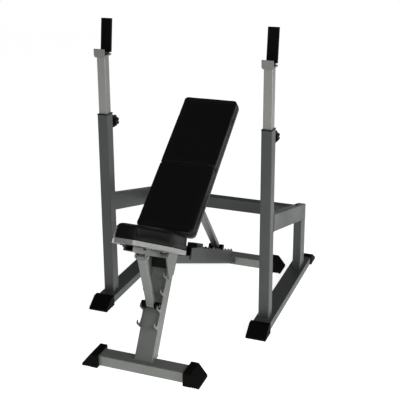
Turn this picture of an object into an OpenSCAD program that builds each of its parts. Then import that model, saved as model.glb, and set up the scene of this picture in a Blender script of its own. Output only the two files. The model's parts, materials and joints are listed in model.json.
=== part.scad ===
/* [Rack] */
// Distance between the centres of the two uprights
rack_span = 960; // [900:10:1150]
// Width of an upright tube, side to side
upright_w = 60; // [56:1:72]
// Depth of an upright tube, front to back
upright_d = 70; // [62:1:84]
// Height of the top of the uprights above the floor
upright_top = 1142; // [960:2:1300]
// Distance from the front of an upright to the front of its rear post
post_run = 700; // [640:10:860]
// Width of a base rail
rail_w = 100; // [90:1:120]
// Height of a base rail tube
rail_h = 48; // [40:1:60]
// Depth of a rear post, front to back
post_d = 100; // [80:1:120]
// Width of a rear post and of the side rail above it
post_w = 50; // [46:1:60]
// Height of the side rail tube
side_rail_h = 100; // [80:1:110]
// Slope of the side rails, falling to the rear
side_rail_slope = 15.1; // [12:0.1:18]
// Height of the cross bar between the rear posts
crossbar_h = 78; // [60:1:90]
// Wall thickness of the steel tubes
wall = 3; // [2:0.5:4]

/* [Bar holders] */
// Side of the square inner tube that slides in an upright
inner_w = 50; // [42:1:51]
// Length of an inner tube
inner_len = 900; // [760:10:980]
// How far the inner tubes stand out of the uprights
inner_out = 332; // [270:2:420]
// Width of a bar cradle
cradle_w = 64; // [54:1:80]
// Room in a cradle for the bar, front to back
cradle_room = 68; // [56:1:82]
// Height of the guard behind the bar
guard_h = 190; // [150:5:246]
// Lean of the guard to the rear
guard_lean = 7; // [0:1:12]
// Diameter of a clamp knob
knob_d = 70; // [58:1:84]
// Diameter of a clamp knob's stud
stud_d = 12; // [10:1:14]

/* [Bench frame] */
// Sideways offset of the bench from the middle of the rack
bench_x = 40; // [-60:5:60]
// Distance from the uprights forward to the front face of the bench's front foot
bench_front = 672; // [620:4:720]
// Depth of the tubes of the two feet
foot_d = 80; // [68:1:96]
// Height of the tubes of the two feet
foot_h = 58; // [50:1:62]
// Half the width of the front foot over its caps
front_foot_half = 322; // [270:2:370]
// Half the width of the rear foot over its caps
rear_foot_half = 343; // [286:2:370]
// Width of the front leg
leg_w = 100; // [90:1:120]
// Depth of the front leg tube
leg_d = 65; // [54:1:78]
// Lean of the front leg from the vertical
leg_lean = 30.5; // [29:0.5:32]
// Width of the main beam
beam_w = 60; // [50:1:70]
// Height of the main beam tube
beam_h = 45; // [38:1:48]

/* [Seat] */
// Width of the seat and of the backrest
pad_w = 324; // [260:2:390]
// Width of the seat's nose
nose_w = 112; // [90:2:140]
// Length of the seat
seat_len = 420; // [380:2:428]
// Thickness of the seat pad
seat_pad_t = 70; // [56:1:74]
// Thickness of the seat board
seat_board_t = 22; // [15:1:24]

/* [Backrest] */
// Length of the backrest
back_len = 896; // [746:2:1000]
// Thickness of the backrest pad
back_pad_t = 50; // [40:1:56]
// Thickness of the backrest board
back_board_t = 15; // [12:1:18]

/* [Hidden] */
$fn = 64;

// gap between parts that slide past each other, and radial gap of a turning fit
SLIDE_GAP = 0.4;
FIT_GAP = 0.06;
// how far a cutting shape runs past the face it opens
OVER = 1;
// larger than any piece, for cutting planes
HUGE = 4000;
// length of a sloping tube before its ends are cut
STOCK = 1600;

// ---- rack ----
CAP_SOLE = 4;
rail_top = CAP_SOLE + rail_h;
half_span = rack_span / 2;
post_x = half_span + upright_w / 2 - post_w;
post_rear = post_run + post_d;
rail_front = -74;
rail_rear = post_rear + 125;
rack_cap_w = rail_w + 14;
rack_cap_h = rail_top + 8;
front_cap_in = -46;
front_cap_tip = -145;
rear_cap_in = rail_rear - 24;
rear_cap_tip = rail_rear + 80;
cap_flat = 32;
side_drop = tan(side_rail_slope);
side_rail_v = side_rail_h / cos(side_rail_slope);
side_top_front = upright_top - 486;
crossbar_d = 50;
crossbar_rise = 6;
flange_t = 6;
flange_d = crossbar_d + 56;
flange_h = 62;
frame_bolt_d = 8;

// ---- bar holders ----
inner_y = upright_d / 2;
inner_top = upright_top + inner_out;
bush_depth = 45;
bush_rim = 4;
plate_t = 6;
base_t = 8;
cradle_front = inner_y - 43;
lip_h = 43;
lip_drop = 4;
guard_w = cradle_w - 6;
guard_t = 20;
core_t = 8;
core_w = 40;
guard_y = cradle_front + plate_t + cradle_room;
guard_z = inner_top + base_t + 8;

// ---- clamp knobs ----
knob_z = upright_top - 63;
nut_d = 26;
nut_t = 10;
knob_t = 35;
knob_y = upright_d + nut_t + 25;
knob_boss_t = 8;
knob_grips = 8;
stud_y = inner_y + inner_w / 2 + 0.3;

// ---- bench frame ----
foot_top = CAP_SOLE + foot_h;
foot_cap_w = foot_d + 40;
foot_cap_h = foot_top + 8;
foot_cap_len = 86;
foot_cap_flat = 40;
foot_y = -bench_front;
leg_foot_y = foot_y + 30;
leg_run = leg_d / cos(leg_lean);
beam_slope = 23.5;
beam_v = beam_h / cos(beam_slope);
beam_low = foot_top - 50;
rear_foot_y = leg_foot_y + 1360;
cover_z = 474;
cover_t = 6;
ear_t = 6;
hook_t = 6;
rack_t = 6;
pin_d = 16;
strut_pin_d = 12;
pin_head_d = 26;
pin_head_t = 6;
barrel_d = 30;
function leg_front(z) = leg_foot_y + (z - foot_top) * tan(leg_lean);
function beam_bottom(y) = beam_low + (rear_foot_y - y) * tan(beam_slope);
function beam_top(y) = beam_bottom(y) + beam_v;
beam_meet_z = (beam_low + (rear_foot_y - leg_foot_y + foot_top * tan(leg_lean)) * tan(beam_slope))
    / (1 + tan(leg_lean) * tan(beam_slope));
beam_front = leg_front(beam_meet_z);

// ---- seat and backrest: tilts, corners and the places of their pivots ----
SEAT_TILT = 27.5;
BACK_TILT = 36.7;
seat_at = [foot_y - 97, 856];
back_at = [foot_y + 311, 673];
seat_under = seat_pad_t + seat_board_t;
seat_tube_w = 50;
seat_tube_h = 30;
back_under = back_pad_t + back_board_t;
back_tube_w = 50;
back_tube_h = 35;
seat_pivot_y = 440;
seat_pivot_z = -seat_under - seat_tube_h / 2;
seat_joint_y = 235;
seat_joint_z = -seat_under - seat_tube_h - 14;
back_pivot_y = 30;
back_pivot_z = -125;
back_joint_y = 362;
back_joint_z = -125;
tab_t = 6;
tab_w = 36;
tab_out = 66;
pad_bolt_out = 55;
function seat_place(y, z) = [
    seat_at[0] + y * cos(SEAT_TILT) + z * sin(SEAT_TILT),
    seat_at[1] - y * sin(SEAT_TILT) + z * cos(SEAT_TILT)
];
function back_place(y, z) = [
    back_at[0] + y * cos(BACK_TILT) - z * sin(BACK_TILT),
    back_at[1] + y * sin(BACK_TILT) + z * cos(BACK_TILT)
];
seat_pivot = seat_place(seat_pivot_y, seat_pivot_z);
back_pivot = back_place(back_pivot_y, back_pivot_z);
seat_joint = seat_place(seat_joint_y, seat_joint_z);
back_joint = back_place(back_joint_y, back_joint_z);

// ---- struts: sleeves at their lower ends rest in hooks on the leg and racks on the beam ----
REST_GAP = 0.5;
strut_w = 44;
strut_d = 25;
fork_gap = 2;
fork_t = 5;
fork_r = 14;
seat_sleeve_r = 18;
seat_sleeve_out = 36;
seat_hook_z = 304;
hook_pitch = 85;
hook_first = -1;
hook_last = 2;
hook_strip = 12;
hook_lip = 8;
hook_root = 9;
hook_way = 60;
seat_strut_end = [
    leg_front(seat_hook_z) - seat_sleeve_out * cos(leg_lean),
    seat_hook_z + seat_sleeve_out * sin(leg_lean)
];
seat_bar_half = leg_w / 2;
back_sleeve_r = 16;
back_bar_half = beam_w / 2 + 15;
rack_floor = 42;
rack_tooth = 9;
rack_pitch = 62;
rack_first = -5;
rack_last = 3;
rack_base = -22;
rack_u = 457;
rack_n = rack_floor + back_sleeve_r + REST_GAP;
back_strut_end = [
    rack_u * cos(beam_slope) + rack_n * sin(beam_slope),
    beam_top(0) - rack_u * sin(beam_slope) + rack_n * cos(beam_slope)
];

// the middle of the footprint is the origin
foremost = seat_place(0, -seat_under)[0];
frame_y = -(foremost + rear_cap_tip) / 2;

// ---- shared shapes ----
// Puts rack pieces, drawn from the uprights' front faces, in the object's frame
module placed() {
    translate([0, frame_y, 0]) children();
}
// Draws the right-hand piece, or its mirror image on the left
module side(right) {
    placed() mirror([right ? 0 : 1, 0, 0]) children();
}
// Puts bench pieces, drawn about the bench's own middle plane, in the object's frame
module on_bench() {
    translate([bench_x, frame_y, 0]) children();
}
// Extrudes a profile drawn with depth and height from x to x + w
module across(x, w) {
    translate([x, 0, 0]) rotate([90, 0, 90]) linear_extrude(w) children();
}
// Round bar or disc along X, centred on x = 0, at a [depth, height] place
module rod_x(place, d, len) {
    translate([-len / 2, place[0], place[1]]) rotate([0, 90, 0]) cylinder(h = len, d = d);
}
// Disc along X from x to x + w
module disc_x(place, d, x, w) {
    translate([x, place[0], place[1]]) rotate([0, 90, 0]) cylinder(h = w, d = d);
}
// Rectangle with round corners, from the origin corner
module rounded(w, d, r) {
    translate([r, 0]) square([w - 2 * r, d]);
    translate([0, r]) square([w, d - 2 * r]);
    for (x = [r, w - r], y = [r, d - r])
        translate([x, y]) circle(r);
}
// Section of a box tube with round outer corners
module tube_2d(w, d, t) {
    difference() {
        rounded(w, d, 1.5 * t);
        translate([t, t]) square([w - 2 * t, d - 2 * t]);
    }
}
// Box tube, or its solid core, running to the rear and down from a [depth, height] point on its top
module sloping(w, h, angle, start, len, t, hollow = true) {
    translate([-w / 2, start[0], start[1]]) rotate([-angle, 0, 0])
        rotate([-90, 0, 0]) linear_extrude(len)
            if (hollow)
                tube_2d(w, h, t);
            else
                square([w, h]);
}
// Block between two depths, taller and wider than any piece
module slab(y0, y1) {
    translate([-HUGE / 2, y0, 0]) cube([HUGE, y1 - y0, HUGE]);
}
// Hexagon head on a washer, standing on z = 0, with its shank below
module bolt(d, shank) {
    cylinder(h = 2, d = 2.4 * d);
    cylinder(h = 2 + 0.65 * d, d = 1.9 * d, $fn = 6);
    translate([0, 0, -shank]) cylinder(h = shank + OVER, d = d);
}
// Rubber cap for a tube that enters from x = 0, with a sloping outer end and a ribbed sole
module wedge_cap(len, flat, w, h, tube_w, tube_h, inside) {
    rib = 6;
    toe = 12;
    difference() {
        translate([0, w / 2, 0]) rotate([90, 0, 0]) linear_extrude(w)
            polygon([[0, 0], [len, 0], [len, toe], [flat, h], [0, h]]);
        translate([-OVER, -tube_w / 2, CAP_SOLE]) cube([inside + OVER, tube_w, tube_h]);
        for (x = [inside + rib : 2 * rib : len - 2 * rib])
            translate([x, -w, -OVER]) cube([rib, 2 * w, 3 + OVER]);
    }
}

// ---- rack ----
// Height of the side rail's top edge at a depth
function side_top(y) = side_top_front - side_drop * (y - upright_d);
crossbar_top = side_top(post_rear) + crossbar_rise;

module base_rail() {
    color("dimgray") translate([half_span - rail_w / 2, rail_front, rail_top])
        rotate([-90, 0, 0]) linear_extrude(rail_rear - rail_front) tube_2d(rail_w, rail_h, wall);
}
module left_base_rail() { side(false) base_rail(); }
module right_base_rail() { side(true) base_rail(); }

// Tube with a hole for the clamp stud through its rear wall
module upright() {
    color("dimgray") difference() {
        translate([half_span - upright_w / 2, 0, rail_top])
            linear_extrude(upright_top - rail_top) tube_2d(upright_w, upright_d, wall);
        translate([half_span, upright_d - 2 * wall, knob_z])
            rotate([-90, 0, 0]) cylinder(h = 3 * wall, d = stud_d + 2);
    }
}
module left_upright() { side(false) upright(); }
module right_upright() { side(true) upright(); }

// Plastic bush in the mouth of an upright, with a rim on top
module guide_bush() {
    bore = inner_w + 2 * SLIDE_GAP;
    color("black") difference() {
        union() {
            translate([half_span - upright_w / 2 + wall, wall, upright_top - bush_depth])
                cube([upright_w - 2 * wall, upright_d - 2 * wall, bush_depth + OVER]);
            translate([half_span - upright_w / 2 - OVER, -OVER, upright_top])
                cube([upright_w + 2 * OVER, upright_d + 2 * OVER, bush_rim]);
        }
        translate([half_span - bore / 2, inner_y - bore / 2, upright_top - bush_depth - OVER])
            cube([bore, bore, bush_depth + bush_rim + 2 * OVER]);
    }
}
module left_guide_bush() { side(false) guide_bush(); }
module right_guide_bush() { side(true) guide_bush(); }

// Tube from the base rail up to the sloping underside of the side rail
module rear_post() {
    color("dimgray") intersection() {
        translate([post_x, post_run, rail_top])
            linear_extrude(upright_top) tube_2d(post_w, post_d, wall);
        across(post_x - OVER, post_w + 2 * OVER) polygon([
            [post_run - OVER, 0], [post_rear + OVER, 0],
            [post_rear + OVER, side_top(post_rear + OVER) - side_rail_v],
            [post_run - OVER, side_top(post_run - OVER) - side_rail_v]
        ]);
    }
}
module left_rear_post() { side(false) rear_post(); }
module right_rear_post() { side(true) rear_post(); }

// Places of the two bolts at one end of the cross bar, in the side rail's inner wall
module at_frame_bolts() {
    for (dy = [-1, 1])
        translate([post_x, post_run + crossbar_d / 2 + dy * (flange_d / 2 - 14), crossbar_top - crossbar_h / 2])
            children();
}
// Sloping tube from the upright over the rear post, closed by a plate at the rear
module side_rail() {
    color("dimgray") difference() {
        union() {
            intersection() {
                translate([post_x + post_w / 2, 0, 0])
                    sloping(post_w, side_rail_h, side_rail_slope, [0, side_top(0)], 2 * post_rear, wall);
                slab(upright_d, post_rear);
            }
            across(post_x + 1.5 * wall, post_w - 3 * wall) polygon([
                [post_rear - wall, side_top(post_rear - wall) - 1.5 * wall],
                [post_rear, side_top(post_rear) - 1.5 * wall],
                [post_rear, side_top(post_rear) - side_rail_v + 1.5 * wall],
                [post_rear - wall, side_top(post_rear - wall) - side_rail_v + 1.5 * wall]
            ]);
        }
        at_frame_bolts() rotate([0, 90, 0])
            translate([0, 0, -OVER]) cylinder(h = 3 * wall, d = frame_bolt_d + 1);
    }
}
module left_side_rail() { side(false) side_rail(); }
module right_side_rail() { side(true) side_rail(); }

// Cross bar with a bolting plate welded to each end
module rear_crossbar() {
    reach = post_x - flange_t;
    color("dimgray") placed() {
        translate([-reach - OVER, post_run, crossbar_top - crossbar_h])
            rotate([90, 0, 90]) linear_extrude(2 * reach + 2 * OVER) tube_2d(crossbar_d, crossbar_h, wall);
        for (s = [0, 1])
            mirror([s, 0, 0]) difference() {
                translate([reach, post_run + (crossbar_d - flange_d) / 2, crossbar_top - (crossbar_h + flange_h) / 2])
                    cube([flange_t, flange_d, flange_h]);
                at_frame_bolts() rotate([0, -90, 0])
                    translate([0, 0, -OVER]) cylinder(h = flange_t + 2 * OVER, d = frame_bolt_d + 1);
            }
    }
}
module crossbar_bolts() {
    color("black") placed()
        for (s = [0, 1])
            mirror([s, 0, 0]) at_frame_bolts()
                translate([-flange_t, 0, 0]) rotate([0, -90, 0]) bolt(frame_bolt_d, flange_t + 3 * wall);
}
// Small plugs in the tops of the side rails, above the posts
module side_rail_plugs() {
    y = post_run - 35;
    color("black") placed()
        for (s = [-1, 1])
            translate([s * (half_span + upright_w / 2 - post_w / 2), y, side_top(y)])
                rotate([-side_rail_slope, 0, 0]) cylinder(h = 5, d1 = 18, d2 = 14);
}
module rack_cap(len, inside) {
    color("black") wedge_cap(len, cap_flat, rack_cap_w, rack_cap_h, rail_w, rail_h, inside);
}
module front_cap() {
    translate([half_span, front_cap_in, 0]) rotate([0, 0, -90])
        rack_cap(front_cap_in - front_cap_tip, front_cap_in - rail_front);
}
module rear_cap() {
    translate([half_span, rear_cap_in, 0]) rotate([0, 0, 90])
        rack_cap(rear_cap_tip - rear_cap_in, rail_rear - rear_cap_in);
}
module left_front_cap() { side(false) front_cap(); }
module right_front_cap() { side(true) front_cap(); }
module left_rear_cap() { side(false) rear_cap(); }
module right_rear_cap() { side(true) rear_cap(); }

// Round weld nuts on the backs of the uprights
module clamp_nuts() {
    color("silver") placed()
        for (s = [-1, 1])
            translate([s * half_span, upright_d, knob_z]) rotate([-90, 0, 0]) difference() {
                cylinder(h = nut_t, d = nut_d);
                translate([0, 0, -OVER]) cylinder(h = nut_t + 2 * OVER, d = stud_d + 2 * FIT_GAP);
            }
}

// ---- bar holders ----
module inner_tube() {
    color("silver") translate([half_span - inner_w / 2, inner_y - inner_w / 2, inner_top - inner_len])
        linear_extrude(inner_len) tube_2d(inner_w, inner_w, 2.5);
}
module left_inner_tube() { side(false) inner_tube(); }
module right_inner_tube() { side(true) inner_tube(); }

// Stands children on the cradle's base, leaning to the rear with the guard
module leaning() {
    translate([half_span, guard_y, inner_top + base_t]) rotate([-guard_lean, 0, 0]) children();
}
// Base plate on the inner tube, a lip in front of the bar and a flat bar up its back
module bar_cradle() {
    lip_w = inner_w + 2;
    root = tan(guard_lean) * base_t;
    color("silver") {
        translate([half_span - cradle_w / 2, cradle_front + plate_t - OVER, inner_top])
            cube([cradle_w, cradle_room + guard_t / 2 + OVER, base_t]);
        translate([half_span, cradle_front + plate_t, inner_top]) rotate([90, 0, 0])
            linear_extrude(plate_t) polygon([
                [-cradle_w / 2, lip_h], [-cradle_w / 2, base_t], [-lip_w / 2, -lip_drop], [lip_w / 2, -lip_drop],
                [cradle_w / 2, base_t], [cradle_w / 2, lip_h]
            ]);
        leaning() translate([-core_w / 2, (guard_t - core_t) / 2 - root, -base_t / 2])
            cube([core_w, core_t, guard_h]);
    }
}
module left_bar_cradle() { side(false) bar_cradle(); }
module right_bar_cradle() { side(true) bar_cradle(); }

// Rubber sleeve over the flat bar, closed at the top
module guard_sleeve() {
    root = tan(guard_lean) * base_t;
    color("black") difference() {
        leaning() translate([-guard_w / 2, -root, guard_z - inner_top - base_t])
            cube([guard_w, guard_t, guard_h - 4]);
        leaning() translate([-core_w / 2, (guard_t - core_t) / 2 - root, -base_t / 2])
            cube([core_w, core_t, guard_h]);
    }
}
module left_guard_sleeve() { side(false) guard_sleeve(); }
module right_guard_sleeve() { side(true) guard_sleeve(); }

// ---- clamp knobs ----
module clamp_stud() {
    color("silver") translate([half_span, stud_y, knob_z]) rotate([-90, 0, 0])
        cylinder(h = knob_y + knob_t / 2 - stud_y, d = stud_d);
}
module left_clamp_stud() { side(false) clamp_stud(); }
module right_clamp_stud() { side(true) clamp_stud(); }

// Knob with finger hollows round its rim and a boss towards the upright
module clamp_knob() {
    hollow_d = 0.26 * knob_d;
    color("black") translate([half_span, knob_y, knob_z]) rotate([-90, 0, 0]) difference() {
        union() {
            cylinder(h = knob_t, d = knob_d);
            translate([0, 0, -knob_boss_t]) cylinder(h = knob_boss_t + OVER, d = 0.45 * knob_d);
        }
        translate([0, 0, -knob_boss_t - OVER]) cylinder(h = knob_boss_t + OVER + knob_t / 2, d = stud_d);
        for (a = [0 : 360 / knob_grips : 359])
            rotate([0, 0, a]) translate([knob_d / 2 + hollow_d / 4, 0, -OVER])
                cylinder(h = knob_t + 2 * OVER, d = hollow_d);
    }
}
module left_clamp_knob() { side(false) clamp_knob(); }
module right_clamp_knob() { side(true) clamp_knob(); }

// ---- bench frame ----
// Cross tube of a foot, ending inside its two caps
module foot_tube(y, half) {
    reach = half - foot_cap_len + foot_cap_flat - 4;
    color("silver") on_bench() translate([-reach, y, CAP_SOLE])
        rotate([90, 0, 90]) linear_extrude(2 * reach) tube_2d(foot_d, foot_h, wall);
}
module foot_cap(y, half, right) {
    color("black") on_bench() mirror([right ? 0 : 1, 0, 0])
        translate([half - foot_cap_len, y + foot_d / 2, 0])
            wedge_cap(foot_cap_len, foot_cap_flat, foot_cap_w, foot_cap_h, foot_d, foot_h, foot_cap_flat - 4);
}
module bench_front_foot() { foot_tube(foot_y, front_foot_half); }
module bench_rear_foot() { foot_tube(rear_foot_y, rear_foot_half); }
module front_foot_left_cap() { foot_cap(foot_y, front_foot_half, false); }
module front_foot_right_cap() { foot_cap(foot_y, front_foot_half, true); }
module rear_foot_left_cap() { foot_cap(rear_foot_y, rear_foot_half, false); }
module rear_foot_right_cap() { foot_cap(rear_foot_y, rear_foot_half, true); }

// Everything below the main beam's underside and above the front foot
module under_beam() {
    across(-HUGE / 2, HUGE) polygon([
        [-HUGE, foot_top], [rear_foot_y, foot_top], [rear_foot_y, beam_bottom(rear_foot_y)],
        [-HUGE, beam_bottom(-HUGE)]
    ]);
}
// The leg's outline, solid, longer than the leg at both ends
module leg_block(grow) {
    translate([-leg_w / 2 - grow, leg_foot_y, foot_top]) rotate([-leg_lean, 0, 0])
        translate([0, 0, -leg_d]) linear_extrude(STOCK) square([leg_w + 2 * grow, leg_d]);
}
module front_leg() {
    color("silver") on_bench() intersection() {
        translate([-leg_w / 2, leg_foot_y, foot_top]) rotate([-leg_lean, 0, 0])
            translate([0, 0, -leg_d]) linear_extrude(STOCK) tube_2d(leg_w, leg_d, wall);
        under_beam();
    }
}
module main_beam() {
    color("silver") on_bench() intersection() {
        sloping(beam_w, beam_h, beam_slope, [beam_front - beam_h, beam_top(beam_front - beam_h)], STOCK, wall);
        slab(beam_front, rear_foot_y);
    }
}
// Dark cover over the front of the leg's top and the end of the beam
module leg_top_cover() {
    front = leg_front(cover_z) - cover_t / cos(leg_lean);
    color("black") on_bench() difference() {
        across(-leg_w / 2 + 0.5, leg_w - 1) polygon([
            [front, cover_z], [leg_front(cover_z) + leg_d / 2, cover_z],
            [beam_front + leg_run, beam_top(beam_front + leg_run)],
            [beam_front, beam_top(beam_front) + cover_t],
            [front + (beam_top(beam_front) - cover_z) / 4, beam_top(beam_front)]
        ]);
        intersection() {
            leg_block(OVER);
            under_beam();
        }
        intersection() {
            sloping(beam_w, beam_h, beam_slope,
                [beam_front - beam_h, beam_top(beam_front - beam_h)], STOCK, wall, false);
            slab(beam_front, rear_foot_y);
        }
    }
}

// Turns a profile drawn up the leg's front face: x out of the face, y up along it from the sleeve's hook
module on_leg() {
    translate([leg_front(seat_hook_z), seat_hook_z]) rotate(90 - leg_lean) mirror([1, -1]) children();
}
// Strip with a row of hooks, open upwards and outwards; one of them holds the seat strut's sleeve
module leg_hooks(right) {
    out = seat_sleeve_out;
    hold_r = seat_sleeve_r + REST_GAP;
    foot = hold_r + hook_root;
    tip = out + hold_r + hook_lip;
    low = hook_first * hook_pitch - foot;
    high = hook_last * hook_pitch + hook_root;
    color("gainsboro") on_bench() mirror([right ? 0 : 1, 0, 0])
        across(leg_w / 2 - OVER - hook_t, hook_t) on_leg() difference() {
            union() {
                translate([0, low]) square([hook_strip, high - low]);
                for (k = [hook_first : hook_last])
                    translate([0, k * hook_pitch])
                        polygon([
                            [0, -foot - hook_root], [out, -foot], [tip, -hold_r],
                            [tip, hook_t], [0, hook_strip]
                        ]);
            }
            for (k = [hook_first : hook_last])
                translate([out, k * hook_pitch]) {
                    polygon([
                        [-hold_r, 0], [hold_r, 0], [hold_r, hold_r], [hook_strip + hook_t / 2 - out, hold_r]
                    ]);
                    hull() {
                        circle(hold_r);
                        translate([hook_way, hook_way]) circle(hold_r);
                    }
                }
        }
}
module left_leg_hooks() { leg_hooks(false); }
module right_leg_hooks() { leg_hooks(true); }

// Turns a profile drawn along the main beam: x down along its top, y out of it
module on_beam() {
    translate([0, beam_top(0)]) rotate(-beam_slope) children();
}
// Plate with a row of teeth: a steep face behind each notch, a gentle ramp in front of it
module beam_rack(right) {
    hold_r = back_sleeve_r + REST_GAP;
    first_u = rack_u + rack_first * rack_pitch;
    last_u = rack_u + rack_last * rack_pitch;
    front_u = first_u - 3.5 * rack_pitch;
    teeth = [
        for (k = [rack_last : -1 : rack_first])
            each [
                [rack_u + k * rack_pitch + hold_r, rack_floor + rack_tooth],
                [rack_u + k * rack_pitch + hold_r, rack_floor],
                [rack_u + k * rack_pitch - 2, rack_floor]
            ]
    ];
    color("gainsboro") on_bench() mirror([right ? 0 : 1, 0, 0])
        across(beam_w / 2, rack_t) on_beam() polygon(concat(
            [
                [front_u, rack_floor], [front_u, rack_base],
                [last_u + 50, rack_base], [last_u + 50, rack_floor - 6], [last_u + 30, rack_floor + rack_tooth]
            ],
            teeth,
            [[first_u - rack_pitch + hold_r, rack_floor + rack_tooth]]
        ));
}
module left_beam_rack() { beam_rack(false); }
module right_beam_rack() { beam_rack(true); }

// Dark block on the beam that stops the strut at the front end of the racks
module strut_stop() {
    first_u = rack_u + rack_first * rack_pitch;
    color("black") on_bench() across(-beam_w / 2 + 0.5, beam_w - 1) on_beam()
        translate([first_u - 2 * rack_pitch, 0]) square([1.6 * rack_pitch, rack_floor + 28]);
}

// Plate on one side of the leg's top that carries the pins of the seat and the backrest
module hinge_ear(right) {
    r = 20;
    rear = leg_front(cover_z) + leg_run;
    color("silver") on_bench() mirror([right ? 0 : 1, 0, 0]) difference() {
        across(leg_w / 2, ear_t) union() {
            polygon([
                [seat_pivot[0] - r, seat_pivot[1]],
                [leg_front(cover_z - 50) + 6, cover_z - 50],
                [leg_front(cover_z - 50) + leg_run - 6, cover_z - 50],
                [rear, cover_z + 6],
                [back_pivot[0] + r, back_pivot[1]],
                [back_pivot[0] - 0.7 * r, back_pivot[1] + 0.7 * r],
                [rear - 30, cover_z + 66],
                [seat_pivot[0] + 0.7 * r, seat_pivot[1] + 0.7 * r]
            ]);
            translate(seat_pivot) circle(r);
            translate(back_pivot) circle(r);
        }
        for (p = [seat_pivot, back_pivot])
            disc_x(p, pin_d, leg_w / 2 - OVER, ear_t + 2 * OVER);
    }
}
module left_hinge_ear() { hinge_ear(false); }
module right_hinge_ear() { hinge_ear(true); }

// Pin along X with a round head outside each plate, whose outer faces are at half
module headed_pin(place, d, half) {
    color("dimgray") on_bench() {
        rod_x(place, d, 2 * half + 2);
        for (s = [0, 1])
            mirror([s, 0, 0]) disc_x(place, 1.6 * d, half, pin_head_t);
    }
}
module seat_hinge_pin() { headed_pin(seat_pivot, pin_d, leg_w / 2 + ear_t); }
module back_hinge_pin() { headed_pin(back_pivot, pin_d, leg_w / 2 + ear_t); }

// ---- seat ----
module on_seat() {
    on_bench() translate([0, seat_at[0], seat_at[1]]) rotate([-SEAT_TILT, 0, 0]) children();
}
// Plan of the seat: a narrow nose widening to the full width
module seat_plan() {
    shoulder = seat_len / 2 + 5;
    r = 14;
    polygon([
        [-nose_w / 2 + r, 0], [nose_w / 2 - r, 0], [nose_w / 2, r * 0.7],
        [pad_w / 2, shoulder], [pad_w / 2, seat_len - r], [pad_w / 2 - r, seat_len],
        [-pad_w / 2 + r, seat_len], [-pad_w / 2, seat_len - r], [-pad_w / 2, shoulder],
        [-nose_w / 2, r * 0.7]
    ]);
}
module seat_pad() {
    color("black") on_seat() translate([0, 0, -seat_pad_t]) linear_extrude(seat_pad_t) seat_plan();
}
module seat_board() {
    color("lightgray") on_seat() translate([0, 0, -seat_under]) linear_extrude(seat_board_t) seat_plan();
}
// Tube under a board with bolting tabs at each given place, in the pad's own frame
module pad_tube(w, h, y0, y1, top, tab_ys) {
    translate([-w / 2, y0, top]) rotate([-90, 0, 0]) linear_extrude(y1 - y0) tube_2d(w, h, 2.5);
    for (y = tab_ys, s = [0, 1])
        mirror([s, 0, 0]) difference() {
            translate([w / 2 - 2, y - tab_w / 2, top - tab_t]) cube([tab_out - w / 2 + 6, tab_w, tab_t]);
            translate([pad_bolt_out, y, top - tab_t - OVER]) cylinder(h = tab_t + 2 * OVER, d = frame_bolt_d + 1);
        }
}
// Pair of fork plates for a strut's pin, round the pin and up to a tube's underside
module strut_fork(y, z, top) {
    for (s = [0, 1])
        mirror([s, 0, 0]) difference() {
            across(strut_w / 2 + fork_gap, fork_t) union() {
                translate([y, z]) circle(fork_r);
                polygon([[y - fork_r, z], [y + fork_r, z], [y + 1.6 * fork_r, top], [y - 1.6 * fork_r, top]]);
            }
            disc_x([y, z], strut_pin_d, strut_w / 2, 2 * fork_gap + fork_t);
        }
    // crosspiece that carries the plates where they stand beside the tube
    translate([-strut_w / 2 - fork_gap - fork_t, y - 1.6 * fork_r, top - 0.5])
        cube([strut_w + 2 * fork_gap + 2 * fork_t, 3.2 * fork_r, 3]);
}
seat_tabs = [130, 345];
back_tabs = [130, 470, 810];
module seat_frame() {
    color("silver") on_seat() difference() {
        union() {
            pad_tube(seat_tube_w, seat_tube_h, 60, seat_pivot_y, -seat_under, seat_tabs);
            rod_x([seat_pivot_y, seat_pivot_z], barrel_d, leg_w - 1);
            strut_fork(seat_joint_y, seat_joint_z, -seat_under - seat_tube_h);
        }
        rod_x([seat_pivot_y, seat_pivot_z], pin_d + 2 * FIT_GAP, leg_w + 2);
    }
}
// Bolts through the tabs into a board, heads below
module pad_bolts(ys, top) {
    for (y = ys, s = [-1, 1])
        translate([s * pad_bolt_out, y, top - tab_t]) mirror([0, 0, 1]) bolt(frame_bolt_d, tab_t);
}
module seat_bolts() { color("black") on_seat() pad_bolts(seat_tabs, -seat_under); }
module strut_pin(place) { headed_pin(place, strut_pin_d, strut_w / 2 + fork_gap + fork_t); }
module seat_strut_pin() { strut_pin(seat_joint); }

// Strut between a bored top end and a cross bar at its lower end
module strut(top, low, bar_half) {
    run = [low[0] - top[0], low[1] - top[1]];
    len = norm(run);
    turn = atan2(run[1], run[0]);
    inset = 0.3 * strut_d;
    color("silver") on_bench() difference() {
        union() {
            translate([0, top[0], top[1]]) rotate([turn, 0, 0])
                translate([-strut_w / 2 + 0.5, inset, strut_d / 2 - 0.5]) rotate([-90, 0, 0])
                    linear_extrude(len - 2 * inset) tube_2d(strut_w - 1, strut_d - 1, 2.5);
            rod_x(top, strut_d, strut_w);
            rod_x(low, strut_d, strut_w);
            rod_x(low, strut_pin_d, 2 * bar_half);
        }
        rod_x(top, strut_pin_d + 2 * FIT_GAP, strut_w + 2);
    }
}
// Rubber sleeves pushed on both ends of a strut's cross bar
module strut_sleeves(low, r, bar_half) {
    start = strut_w / 2 + 1;
    color("black") on_bench()
        for (s = [0, 1])
            mirror([s, 0, 0]) difference() {
                disc_x(low, 2 * r, start, bar_half - start);
                disc_x(low, strut_pin_d, 0, 2 * bar_half);
            }
}
module seat_strut() { strut(seat_joint, seat_strut_end, seat_bar_half); }
module seat_strut_sleeves() { strut_sleeves(seat_strut_end, seat_sleeve_r, seat_bar_half); }

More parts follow.
